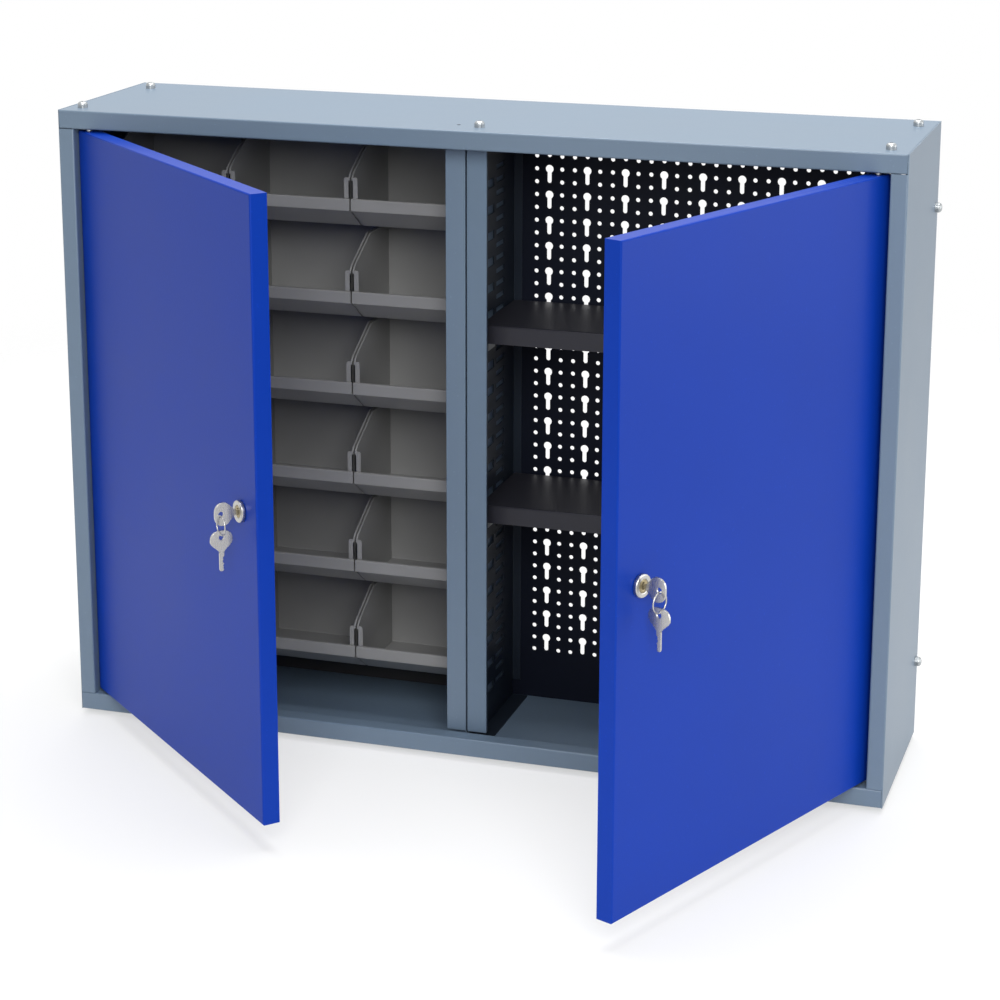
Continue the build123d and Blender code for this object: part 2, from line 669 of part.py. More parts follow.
for name, slot in SHELF_SLOT.items():
    slot_z = SLOT_LOW_Z + slot * SLOT_PITCH
    ledge_z = slot_z + SLOT_HEIGHT / 2 + CLIP
    edge_z = ledge_z + CLIP + SEAT
    shelf_z = edge_z + SHELF_EDGE
    with BuildPart() as shelf:
        block((SHELF_LEFT, SHELF_RIGHT), (SHELF_FRONT, SHELF_REAR), (edge_z, shelf_z))
        fillet(edges().group_by(Axis.Z)[-1].filter_by(Axis.X), radius=BEND)
        block(
            (SHELF_LEFT + SHELF_SHEET, SHELF_RIGHT - SHELF_SHEET),
            (SHELF_FRONT + SHELF_SHEET, SHELF_REAR - SHELF_SHEET),
            (edge_z + SHELF_SHEET, shelf_z - SHELF_SHEET),
            Mode.SUBTRACT,
        )
        block(
            (SHELF_LEFT + SHELF_SHEET, SHELF_RIGHT - SHELF_SHEET),
            (SHELF_FRONT + SHELF_RETURN, SHELF_REAR - SHELF_SHEET),
            (edge_z - SHELF_SHEET, shelf_z - SHELF_SHEET),
            Mode.SUBTRACT,
        )
    keep(shelf.part, f"{name}_shelf")
    with BuildPart() as clips:
        for setback in (SLOT_SETBACK, TALL_SLOT_SETBACK):
            middle_y = FRONT + setback + SLOT_LENGTH / 2
            span = (middle_y - CLIP_WIDTH / 2, middle_y + CLIP_WIDTH / 2)
            tongue = (slot_z - CLIP / 2, slot_z + CLIP / 2)
            leg_foot = ledge_z - CLIP_LEG
            hook_x = BAY_LEFT - SHEET - CLIP_BACK
            block((BAY_LEFT, BAY_LEFT + CLIP_LEDGE), span, (ledge_z, ledge_z + CLIP))
            block((BAY_LEFT, BAY_LEFT + CLIP), span, (leg_foot, ledge_z + CLIP))
            block((hook_x, BAY_LEFT + CLIP), span, tongue)
            block((hook_x, hook_x + CLIP_HOOK), span, (slot_z - CLIP_HOOK_DROP, tongue[1]))
        mirror(about=Plane.YZ.offset(BAY_MIDDLE))
    keep(clips.part, f"{name}_shelf_clips")
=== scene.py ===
"""Looks of the wall tool cabinet: painted sheet, plated locks and keys, plastic bins, lights and camera.

Metres, in the frame of the CAD model: X to the right seen from the front, Y towards the wall, Z up.
"""

import json
import math

import bmesh
import bpy
import numpy as np
from mathutils import Matrix, Vector


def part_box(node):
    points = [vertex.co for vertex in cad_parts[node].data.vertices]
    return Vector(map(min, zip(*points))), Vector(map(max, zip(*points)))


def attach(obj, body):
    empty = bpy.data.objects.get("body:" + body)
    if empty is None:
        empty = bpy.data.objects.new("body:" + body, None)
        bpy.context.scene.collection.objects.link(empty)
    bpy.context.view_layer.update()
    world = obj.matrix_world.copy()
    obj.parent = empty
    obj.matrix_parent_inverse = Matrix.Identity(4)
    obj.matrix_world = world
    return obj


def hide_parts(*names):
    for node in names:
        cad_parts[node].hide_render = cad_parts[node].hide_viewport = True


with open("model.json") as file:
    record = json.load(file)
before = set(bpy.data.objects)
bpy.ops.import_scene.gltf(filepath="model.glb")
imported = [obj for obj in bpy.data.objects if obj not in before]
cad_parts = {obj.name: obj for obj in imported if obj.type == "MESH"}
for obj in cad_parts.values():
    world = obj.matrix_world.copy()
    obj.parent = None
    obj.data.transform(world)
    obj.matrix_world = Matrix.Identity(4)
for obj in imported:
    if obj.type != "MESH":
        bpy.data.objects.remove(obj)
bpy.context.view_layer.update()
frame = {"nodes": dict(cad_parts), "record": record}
NODES = frame["nodes"]

# ---------------------------------------------------------------- sizes
MM = 0.001
HALF_WIDTH = 400 * MM
HALF_HEIGHT = 300 * MM

# Rounded edges
BEVEL = 0.35 * MM
LOCK_BEVEL = 0.9 * MM
PLATE_BEVEL = 0.2 * MM
KEY_BEVEL = 0.25 * MM
BIN_BEVEL = 0.3 * MM
BEVEL_ANGLE = 35  # degrees, from which an edge of a CAD piece is rounded
SOFT_ANGLE = 40  # the same for the pieces made here
FLAT_ANGLE = 0.5  # degrees, up to which neighbouring faces of a door shell become one
WELD = 0.01 * MM

# Perforation
SHEET = 1 * MM
PITCH = 12.5 * MM
HEAD_R = 4.0 * MM
SLOT_R = 2.1 * MM
SMALL_R = 2.1 * MM
SMALL_STEPS = 16
SLOT_END = 11.5 * MM
FIRST_X = 33.5 * MM
TOP_Z = 264.9 * MM
KEYHOLE_COLUMNS = 10
KEYHOLE_ROWS = 21
ACCESS = 12 * MM
ACCESS_X = 367 * MM
ACCESS_Z = 277 * MM

# Fasteners
HEAD_RADIUS = 4.6 * MM
HEAD_HEIGHT = 5.8 * MM
HEAD_STRAIGHT = 3.0 * MM
HEAD_STEPS = 24
SOCKET_R = 1.6 * MM
SOCKET_EDGE = 0.55 * HEAD_HEIGHT
SOCKET_FLOOR = 0.5 * HEAD_HEIGHT
SOCKET_TIP = 0.0001 * MM
SHANK_RADIUS = 2.4 * MM
SHANK = 5 * MM
NUT_FLATS = 20 * MM
NUT_HEIGHT = 4 * MM
NUT_BORE = 8.1 * MM
NUT_STEPS = 24
DOOR_SHEET = 1 * MM
TOP_SCREWS = [(x * MM, y * MM) for x, y in ((-384, -172), (-377, -36), (381, -172), (384, -36), (8, -167))]
SIDE_SCREW_Y = -15 * MM
SIDE_SCREW_Z = 222 * MM

# Keys, along the key outwards from the face of the door
KEY_THICK = 2 * MM
KEY_BLADE = 4.6 * MM
KEY_BLADE_THICK = 1.6 * MM
KEY_TIP = -11 * MM
KEY_SHOULDER = 5 * MM
KEY_END = 25.5 * MM
KEY_BOW = 21 * MM
KEY_NECK = 0.3  # share of the bow's width that is left at the shoulder
KEY_SQUARE = 0.75  # 1 makes an ellipse of the bow, less makes it squarer
KEY_TAPER = 11 * MM  # length over which the bow widens from the blade
KEY_STEPS = 40
KEY_HOLE = 19.5 * MM
KEY_HOLE_R = 2.5 * MM
KEY_SINK = 0.8 * MM  # the blade starts this far within the bow
KEY_POINT = 0.8 * MM
KEY_CUTS = (0, 0, 0, 0.5, 1.4, 0.7, 1.8, 1.0, 0.3, 1.2, 0.6, 1.1, 0.4, 1.6)  # millimetres, from bow to tip
RING_R = 8.6 * MM
RING_WIRE = 1.3 * MM
RING_STEPS = 64
WIRE_STEPS = 12
SPARE_Z = -20.25 * MM

# Bins, inwards from the face of the front and up from the underside
BIN_ROWS = 6
BIN_COLUMNS = 3
BIN_WALL = 1.6 * MM
BIN_FRONT = 31 * MM
BIN_LIP = 12 * MM
BIN_LIP_ROUND = 1.2 * MM
BIN_PROUD = 2.5 * MM
BIN_TOE = 28 * MM  # how far the foot of the front stands back
BIN_EAR = 20 * MM  # upright ear beside the low front
BIN_EAR_WIDTH = 6 * MM
BIN_EAR_ROUND = 2.5 * MM
BIN_FIN = 5 * MM  # the side wall above its ear
BIN_SLOPE_END = 48 * MM
BIN_ROUND = 3 * MM
BIN_CRISP = 0.2 * MM
HOOK_REACH = 4.1 * MM  # hook behind the rear wall
HOOK_WIDTH = 60 * MM
HOOK_SHEET = 1.6 * MM
HOOK_DROP = 7.1 * MM

# Spare hole in the top, as a dark plug that ends just above the paint; the plug is painted shade for the
# inside seen through the hole
SPARE_HOLE = (-14 * MM, -160 * MM)
SPARE_HOLE_R = 1.8 * MM
SPARE_HOLE_DEPTH = 1 * MM
SPARE_HOLE_LID = 0.1 * MM
SPARE_HOLE_TIP = 0.01 * MM
SPARE_HOLE_STEPS = 20

# Partition, where the colour turns from that of the front flange to the painted shade of the sheet behind it,
# and over what length
FLANGE_END = -171.5 * MM
FLANGE_FADE = 1.5 * MM

# Patterns of the finishes, in cells per metre
CLOUDS = 9.0
GRAIN = 1400.0
PEEL_WAVES = 620.0
DUST = 420.0
SCRATCHES = 900.0
STAINS = 160.0
MOULD_GRAIN = 2200.0
MOULD_FLOW = 14.0
FLOOR_CLOUDS = 3.0

# Heights of the noise from which a speck of dust or a fleck shows
DUST_PEAK = 0.78
FLECK_PEAK = 0.62

# How far clouding and grain change the roughness, from their lowest to their highest
CLOUD_GLOSS = 0.08
GRAIN_GLOSS = 0.06

# Depths of the bumps
PEEL_DEPTH = 0.03 * MM
SCRATCH_DEPTH = 0.01 * MM
MOULD_DEPTH = 0.02 * MM

# Colours used more than once
WHITE = (1.0, 1.0, 1.0, 1.0)
GREY_BLUE = (0.135, 0.19, 0.255)

# Camera
CAMERA = (715.6 * MM, -2364 * MM, 667.7 * MM)
YAW = 17.382
PITCH_DOWN = 14.431
ROLL = 0.129
FOCAL = 2.579  # in image widths
SHIFT_Y = -0.13
SENSOR = 36.0
FAR = 50.0

# Studio
FLOOR_Z = -HALF_HEIGHT - HEAD_HEIGHT  # the cabinet stands on the heads of its bottom screws
FLOOR_FADE = (1.0, 1.9)  # radii over which the floor dissolves into the white surroundings
FLOOR_DARK = (0.9, 0.9, 0.9, 1.0)
FLOOR_LIGHT = (0.93, 0.93, 0.93, 1.0)
FLOOR_GLOW = 0.55
ROOM = 0.3
LAMPS = (  # name, place, aim, size in metres, watts
    ("front_light", (1.0, -3.0, 1.8), (0.0, 0.0, 0.0), 2.0, 90.0),
    ("top_light", (0.0, 0.3, 2.6), (0.0, 0.0, 0.0), 2.4, 90.0),
    ("right_light", (2.8, 0.6, 0.4), (0.4, 0.0, 0.0), 1.6, 22.0),
)


# ---------------------------------------------------------------- shader maths
class Wire:
    """A socket of a shader, with the arithmetic that the finishes use."""

    def __init__(self, shade, socket):
        self.shade = shade
        self.socket = socket

    def _math(self, operation, *values):
        return self.shade.node("ShaderNodeMath", dict(enumerate(values)), operation=operation)

    def __add__(self, other):
        return self._math("ADD", self, other)

    def __sub__(self, other):
        return self._math("SUBTRACT", self, other)

    def __mul__(self, other):
        return self._math("MULTIPLY", self, other)

    def __rsub__(self, other):
        return self._math("SUBTRACT", other, self)

    __radd__ = __add__
    __rmul__ = __mul__

    def larger(self, other):
        return self._math("MAXIMUM", self, other)

    def above(self, edge, soft):
        """0 below edge, 1 above edge + soft, smooth between."""
        sockets = {"Value": self, "From Min": edge, "From Max": edge + soft}
        return self.shade.node("ShaderNodeMapRange", sockets, interpolation_type="SMOOTHSTEP")


class Shade:
    """The nodes of a material or a world under construction."""

    def __init__(self, owner):
        owner.use_nodes = True
        self.owner = owner
        self.tree = owner.node_tree
        self.tree.nodes.clear()

    def node(self, kind, sockets=None, out=0, **settings):
        """Adds a node, sets or links its inputs and returns one of its outputs."""
        made = self.tree.nodes.new(kind)
        for name, setting in settings.items():
            setattr(made, name, setting)
        for key, wire in (sockets or {}).items():
            if isinstance(wire, Wire):
                self.tree.links.new(wire.socket, made.inputs[key])
            else:
                made.inputs[key].default_value = wire
        return Wire(self, made.outputs[out])

    def place(self):
        return self.node("ShaderNodeTexCoord", out="Object")

    def noise(self, scale, detail=2.0, stretch=None):
        """Noise over the object's own coordinates, in cells per metre."""
        place = self.place()
        if stretch:
            place = self.node("ShaderNodeMapping", {"Vector": place, "Scale": stretch})
        return self.node("ShaderNodeTexNoise", {"Vector": place, "Scale": scale, "Detail": detail}, out="Fac")

    def mix(self, factor, a, b):
        """Colour a where factor is 0 and b where it is 1."""
        return self.node("ShaderNodeMix", {0: factor, 6: a, 7: b}, out=2, data_type="RGBA")

    def bump(self, height, distance):
        sockets = {"Height": height, "Distance": distance, "Strength": 1.0}
        return self.node("ShaderNodeBump", sockets, out="Normal")

    def seen_directly(self):
        """1 for camera, glossy and transmission rays, 0 for all others."""
        path = self.tree.nodes.new("ShaderNodeLightPath")
        camera, glossy, through = (
            Wire(self, path.outputs[f"Is {ray} Ray"]) for ray in ("Camera", "Glossy", "Transmission")
        )
        return camera.larger(glossy).larger(through)

    def principled(self, **inputs):
        named = {name.replace("_", " "): wire for name, wire in inputs.items()}
        return self.node("ShaderNodeBsdfPrincipled", named, out="BSDF")

    def end(self, shader, kind="ShaderNodeOutputMaterial"):
        """Links the shader to the output and returns the material or the world."""
        output = self.tree.nodes.new(kind)
        self.tree.links.new(shader.socket, output.inputs["Surface"])
        return self.owner


def new_shade(name):
    return Shade(bpy.data.materials.new(name))


def tint(colour, amount):
    return tuple(c * amount for c in colour[:3]) + (1.0,)


def powder_coat(name, colour, roughness, gloss=0.5):
    """Sprayed powder coat: fine orange peel, faint clouding and a few dust specks."""
    shade = new_shade(name)
    clouds = shade.noise(CLOUDS, 3.0)
    grain = shade.noise(GRAIN)
    peel_wave = shade.noise(PEEL_WAVES, 1.0)
    specks = shade.noise(DUST, 0.0).above(DUST_PEAK, 0.03)
    base = shade.mix(clouds, tint(colour, 0.94), tint(colour, 1.06))
    base = shade.mix(specks * 0.25, base, tint(colour, 1.5))
    paint = shade.principled(
        Base_Color=base,
        Roughness=clouds * CLOUD_GLOSS + grain * GRAIN_GLOSS + (roughness - (CLOUD_GLOSS + GRAIN_GLOSS) / 2),
        Specular_IOR_Level=gloss,
        Normal=shade.bump(peel_wave + grain * 0.35, PEEL_DEPTH),
    )
    return shade.end(paint)


def powder_coat_with_painted_shade(name, front, rear, edge):
    """Powder coat of the partition: one colour on its front flange, and a darker one on the sheet behind it,
    which is painted shade.
    """
    shade = new_shade(name)
    depth = shade.node("ShaderNodeSeparateXYZ", {0: shade.place()}, out="Y")
    clouds = shade.noise(CLOUDS, 3.0)
    # painted shade: from the edge backwards the sheet takes the dark rear colour
    base = shade.mix(depth.above(edge, FLANGE_FADE), tint(front, 1.0), tint(rear, 1.0))
    base = shade.mix(clouds * 0.1, base, tint(front, 0.9))
    paint = shade.principled(
        Base_Color=base,
        Roughness=clouds * CLOUD_GLOSS + 0.36,
        Specular_IOR_Level=0.3,
        Normal=shade.bump(shade.noise(PEEL_WAVES, 1.0), PEEL_DEPTH),
    )
    return shade.end(paint)


def plated(name, colour, roughness, brushed):
    """Plated metal with fine wiping scratches and a little uneven gloss."""
    shade = new_shade(name)
    scratches = shade.noise(SCRATCHES, 4.0, stretch=(1.0, 1.0, 0.06))
    stains = shade.noise(STAINS)
    metal = shade.principled(
        Base_Color=shade.mix(stains, tint(colour, 0.88), tint(colour, 1.05)),
        Metallic=1.0,
        Roughness=scratches * brushed + stains * 0.08 + roughness,
        Normal=shade.bump(scratches, SCRATCH_DEPTH),
    )
    return shade.end(metal)


def moulded_plastic(name, colour, fleck_colour):
    """Moulded plastic with soft flow marks, a fine spark-eroded grain and paler flecks on its peaks."""
    shade = new_shade(name)
    grain = shade.noise(MOULD_GRAIN)
    flow = shade.noise(MOULD_FLOW)
    base = shade.mix(flow, tint(colour, 0.85), tint(colour, 1.15))
    plastic = shade.principled(
        Base_Color=shade.mix(grain.above(FLECK_PEAK, 0.1) * 0.2, base, tint(fleck_colour, 1.0)),
        Roughness=grain * 0.1 + 0.33,
        Normal=shade.bump(grain, MOULD_DEPTH),
    )
    return shade.end(plastic)


CARCASS = powder_coat("grey_blue_powder_coat", GREY_BLUE, 0.4)
DOOR = powder_coat("blue_powder_coat", (0.003, 0.037, 0.34), 0.34, 0.1)
# Partition: grey-blue front flange, and near-black painted shade on the sheet behind it for the deep shadow
# in the right compartment
PARTITION_PAINTED_SHADE = powder_coat_with_painted_shade("partition_powder_coat_with_painted_shade", GREY_BLUE, (0.008, 0.012, 0.02), FLANGE_END)
REAR_PLAIN = powder_coat("dark_grey_powder_coat", (0.035, 0.035, 0.036), 0.5, 0.2)
INTERIOR = powder_coat("dark_interior_powder_coat", (0.006, 0.008, 0.016), 0.5, 0.12)
SHELF = powder_coat("anthracite_powder_coat", (0.02, 0.02, 0.027), 0.45, 0.35)
BIN = moulded_plastic("grey_bin_plastic", (0.22, 0.22, 0.217), (0.28, 0.28, 0.275))
NICKEL = plated("bright_nickel", (0.52, 0.51, 0.49), 0.16, 0.14)
BRASS = plated("worn_brass", (0.36, 0.3, 0.18), 0.22, 0.15)
ZINC = plated("zinc_plate", (0.46, 0.47, 0.48), 0.28, 0.2)
SCREW = plated("screw_plate", (0.4, 0.42, 0.43), 0.2, 0.25)

FINISH = {
    "carcass_paint": CARCASS,
    "interior_paint": INTERIOR,
    "door_paint": DOOR,
    "shelf_paint": SHELF,
    "bin_plastic": BIN,
    "nickel_plate": NICKEL,
    "galvanised_steel": ZINC,
}


# ---------------------------------------------------------------- surfaces
def piece(name, points, faces, material, body=None):
    """A mesh object from points and faces, riding on a body."""
    mesh = bpy.data.meshes.new(name)
    mesh.from_pydata(np.asarray(points, float).tolist(), [], faces)
    mesh.materials.append(material)
    mesh.update()
    made = bpy.data.objects.new(name, mesh)
    bpy.context.scene.collection.objects.link(made)
    if body:
        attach(made, body)
    return made


def soften(made, width):
    """Small rounding on every sharp edge."""
    bevel = made.modifiers.new("bevel", "BEVEL")
    bevel.width = width
    bevel.segments = 2
    bevel.limit_method = "ANGLE"
    bevel.angle_limit = math.radians(SOFT_ANGLE)


def face_outwards(made):
    """Turns every face of the closed shells outwards."""
    mesh = bmesh.new()
    mesh.from_mesh(made.data)
    bmesh.ops.recalc_face_normals(mesh, faces=mesh.faces)
    mesh.to_mesh(made.data)
    mesh.free()


def join(parts):
    """Joins (points, faces) pairs into one pair."""
    points, faces, count = [], [], 0
    for some_points, some_faces in parts:
        points.append(np.asarray(some_points, float))
        faces.extend([[i + count for i in face] for face in some_faces])
        count += len(some_points)
    return np.vstack(points), faces


def basis(origin, x_axis, z_axis):
    """Placement matrix from an origin and two directions at right angles."""
    x_axis, z_axis = Vector(x_axis).normalized(), Vector(z_axis).normalized()
    turn = Matrix((x_axis, z_axis.cross(x_axis), z_axis)).transposed()
    return Matrix.Translation(origin) @ turn.to_4x4()


def placed(points, matrix):
    """Points turned and moved by the matrix."""
    return points @ np.array(matrix.to_3x3()).T + np.array(matrix.translation)


def side_by_side(*quads):
    """The first quad of each array, then the second of each, and so on."""
    return np.stack(quads, axis=1).reshape(-1, 4).tolist()


def cuboid(low, high):
    """The six faces of a box."""
    (x0, y0, z0), (x1, y1, z1) = low, high
    points = [(x, y, z) for x in (x0, x1) for y in (y0, y1) for z in (z0, z1)]
    faces = [(0, 1, 3, 2), (4, 6, 7, 5), (0, 4, 5, 1), (2, 3, 7, 6), (0, 2, 6, 4), (1, 5, 7, 3)]
    return points, faces


def rings(reach, height, matrix):
    """Points (r cos a, r sin a, h), with r for each ring and angle in reach and h for each ring in height.

    Each ring is joined to the next by quads.
    """
    count, steps = reach.shape
    angles = np.arange(steps) * 2 * math.pi / steps
    level = np.repeat(np.asarray(height, float)[:, None], steps, axis=1)
    points = np.stack([reach * np.cos(angles), reach * np.sin(angles), level], -1).reshape(-1, 3)
    start = np.arange(count - 1)[:, None] * steps
    here = (start + np.arange(steps)).ravel()
    beside = (start + (np.arange(steps) + 1) % steps).ravel()
    return placed(points, matrix), np.c_[here, beside, beside + steps, here + steps].tolist()


def lathe(profile, steps, matrix):
    """Rings with one radius each, from the (r, h) pairs of the profile."""
    radius, height = np.array(profile, float).T
    return rings(np.repeat(radius[:, None], steps, axis=1), height, matrix)


def torus(radius, wire, steps, round_steps, matrix):
    """Points ((R + w cos b) cos a, (R + w cos b) sin a, w sin b)."""
    a, b = np.meshgrid(np.arange(steps), np.arange(round_steps), indexing="ij")
    angle, turn = a * 2 * math.pi / steps, b * 2 * math.pi / round_steps
    reach = radius + wire * np.cos(turn)
    points = np.stack([reach * np.cos(angle), reach * np.sin(angle), wire * np.sin(turn)], -1).reshape(-1, 3)
    index = (a * round_steps + b).ravel()
    along = (((a + 1) % steps) * round_steps + b).ravel()
    across = (a * round_steps + (b + 1) % round_steps).ravel()
    both = (((a + 1) % steps) * round_steps + (b + 1) % round_steps).ravel()
    return placed(points, matrix), np.c_[index, along, both, across].tolist()


def slab_ring(inner, outer, half):
    """A plate of thickness 2 half between an inner and an outer outline."""
    n = len(inner)
    layers = [np.c_[ring, np.full(n, z)] for z in (-half, half) for ring in (inner, outer)]
    i = np.arange(n)
    j = (i + 1) % n
    faces = side_by_side(
        np.c_[i, j, n + j, n + i],
        np.c_[2 * n + i, 3 * n + i, 3 * n + j, 2 * n + j],
        np.c_[n + i, n + j, 3 * n + j, 3 * n + i],
        np.c_[i, 2 * n + i, 2 * n + j, j],
    )
    return np.vstack(layers), faces


def rounded(corners, radius):
    """Each corner C becomes (1-t)^2 A + 2t(1-t) C + t^2 B, with A and B one radius away along its two edges.

    The radius is one number, or one for each corner.
    """
    radius = np.reshape(radius, (-1, 1))
    corners = np.array(corners, float)
    t = np.linspace(0, 1, 5)[None, :, None]
    ends = []
    for shift in (1, -1):
        edge = np.roll(corners, shift, axis=0) - corners
        length = np.linalg.norm(edge, axis=1, keepdims=True)
        ends.append((corners + edge / length * np.minimum(radius, 0.45 * length))[:, None])
    middle = corners[:, None]
    return ((1 - t) ** 2 * ends[0] + 2 * t * (1 - t) * middle + t**2 * ends[1]).reshape(-1, 2)


def prism(outline, low, high, axis):
    """A closed outline carried from low to high along X (axis 0) or Y (axis 1)."""
    count = len(outline)
    layers = [np.insert(outline, axis, station, axis=1) for station in (low, high)]
    index = np.arange(count)
    following = (index + 1) % count
    sides = np.c_[index, following, following + count, index + count].tolist()
    return np.vstack(layers), sides + [list(range(count))[::-1], list(range(count, 2 * count))]


# ---------------------------------------------------------------- perforated back
FACE_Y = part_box("rear_panel_right")[0][1]
REAR_Y = FACE_Y + SHEET


def perforated_cell(inner, outer):
    """Front, back and hole wall of one cell, between a hole outline and the cell's edge in X and Z."""
    n = len(inner)
    layers = [np.insert(ring, 1, y, axis=1) for y in (FACE_Y, REAR_Y) for ring in (inner, outer)]
    i = np.arange(n)
    j = (i + 1) % n
    faces = side_by_side(
        np.c_[i, j, n + j, n + i],
        np.c_[3 * n + i, 3 * n + j, 2 * n + j, 2 * n + i],
        np.c_[2 * n + i, 2 * n + j, j, i],
    )
    return np.vstack(layers), faces


def arc(radius, angles, centre=(0.0, 0.0)):
    """Points centre + r (cos a, sin a)."""
    return np.c_[np.cos(angles), np.sin(angles)] * radius + centre


def to_edge(origin, angles, low, high):
    """Where rays from the origin meet the edge of the rectangle between two corners.

    A ray ends at the smaller of (side - origin) / direction, taken for the side in X and for the side in Z.
    """
    way = np.c_[np.cos(angles), np.sin(angles)]
    reach = np.full(way.shape, np.inf)
    np.divide(np.where(way > 0, high, low) - origin, way, out=reach, where=np.abs(way) > 1e-9)
    return origin + way * reach.min(axis=1, keepdims=True)


def round_cell():
    """A small round hole in a square cell."""
    angles = np.arange(SMALL_STEPS) * 2 * math.pi / SMALL_STEPS
    corner = np.array([PITCH / 2, PITCH / 2])
    return perforated_cell(arc(SMALL_R, angles), to_edge((0.0, 0.0), angles, -corner, corner))


def keyhole_cell():
    """A round head running into a narrower slot, in a cell one pitch wide and two high."""
    half, foot = PITCH / 2, -1.5 * PITCH
    low, high = (-half, foot), (half, half)
    end = (0.0, -SLOT_END)
    meet = -math.acos(SLOT_R / HEAD_R)
    corner = math.atan2(foot + SLOT_END, half)
    head = np.radians([90, 67.5, 45, 22.5, 0])
    neck = np.array([meet / 2, meet])
    tail = np.array([0.0, corner / 2, corner, (corner - math.pi / 2) / 2, -math.pi / 2])
    neck_edge = np.c_[np.full(2, half), HEAD_R * np.sin(neck)]
    inner = np.vstack([arc(HEAD_R, head), arc(HEAD_R, neck), arc(SLOT_R, tail, end)])
    outer = np.vstack([to_edge((0.0, 0.0), head, low, high), neck_edge, to_edge(end, tail, low, high)])
    inner, outer = (np.vstack([right, right[-2:0:-1] * (-1, 1)])[::-1] for right in (inner, outer))
    return perforated_cell(inner, outer)


def perforated_back():
    """The right-hand back: a 12.5 mm grid of round holes with a keyhole in every third column."""
    (left, _, low), (right, _, high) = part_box("rear_panel_right")
    parts = []
    round_points, round_faces = round_cell()
    key_points, key_faces = keyhole_cell()
    for column in range(-1, 3 * KEYHOLE_COLUMNS - 1):
        x = FIRST_X + column * PITCH
        for row in range(2 * KEYHOLE_ROWS):
            z = TOP_Z - row * PITCH
            if column % 3:
                parts.append((round_points + (x, 0, z), round_faces))
            elif row % 2 == 0:
                parts.append((key_points + (x, 0, z), key_faces))
    x0, x1 = FIRST_X - 1.5 * PITCH, FIRST_X + (3 * KEYHOLE_COLUMNS - 1.5) * PITCH
    z1, z0 = TOP_Z + PITCH / 2, TOP_Z - (2 * KEYHOLE_ROWS - 0.5) * PITCH
    hole = (ACCESS_X - ACCESS / 2, ACCESS_X + ACCESS / 2)
    upper = ACCESS_Z + ACCESS / 2
    sheets = [(left, x0, low, high), (x1, right, low, high), (x0, hole[0], z1, high), (hole[1], x1, z1, high)]
    sheets += [(hole[0], hole[1], upper, high), (x0, hole[0], low, z0), (hole[1], x1, low, z0)]
    sheets += [(hole[0], hole[1], low, -upper), (hole[0], hole[1], ACCESS - upper, z0)]
    parts += [cuboid((a, FACE_Y, c), (b, REAR_Y, d)) for a, b, c, d in sheets]
    made = piece("perforated_back", *join(parts), INTERIOR, "cabinet")
    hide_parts("rear_panel_right")


# ---------------------------------------------------------------- CAD pieces
SLOT_OF = {part["node"]: part["material_slot"] for part in frame["record"]["subparts"]}


def dress(name, width=BEVEL, segments=2, finish=None):
    """Gives a CAD piece its finish and softly rounded edges; a door shell's flat faces are merged first."""
    node = NODES[name]
    node.data.materials.clear()
    node.data.materials.append(finish or FINISH[SLOT_OF[name]])
    weld = node.modifiers.new("weld", "WELD")
    weld.merge_threshold = WELD
    if name.endswith("door_shell"):
        flat = node.modifiers.new("flat", "DECIMATE")
        flat.decimate_type = "DISSOLVE"
        flat.angle_limit = math.radians(FLAT_ANGLE)
    bevel = node.modifiers.new("bevel", "BEVEL")
    bevel.width = width
    bevel.segments = segments
    bevel.limit_method = "ANGLE"
    bevel.angle_limit = math.radians(BEVEL_ANGLE)


for node_name in NODES:
    if node_name.endswith("lock_body"):
        dress(node_name, LOCK_BEVEL, 3)
    elif "key" in node_name:
        dress(node_name, PLATE_BEVEL)
    elif node_name.endswith("lock_plug"):
        dress(node_name, finish=BRASS)
    # the partition's sheet behind its front flange carries painted shade
    elif node_name == "divider_right_panel":
        dress(node_name, finish=PARTITION_PAINTED_SHADE)
    elif node_name == "rear_panel_left":
        dress(node_name, finish=REAR_PLAIN)
    else:
        dress(node_name)

perforated_back()


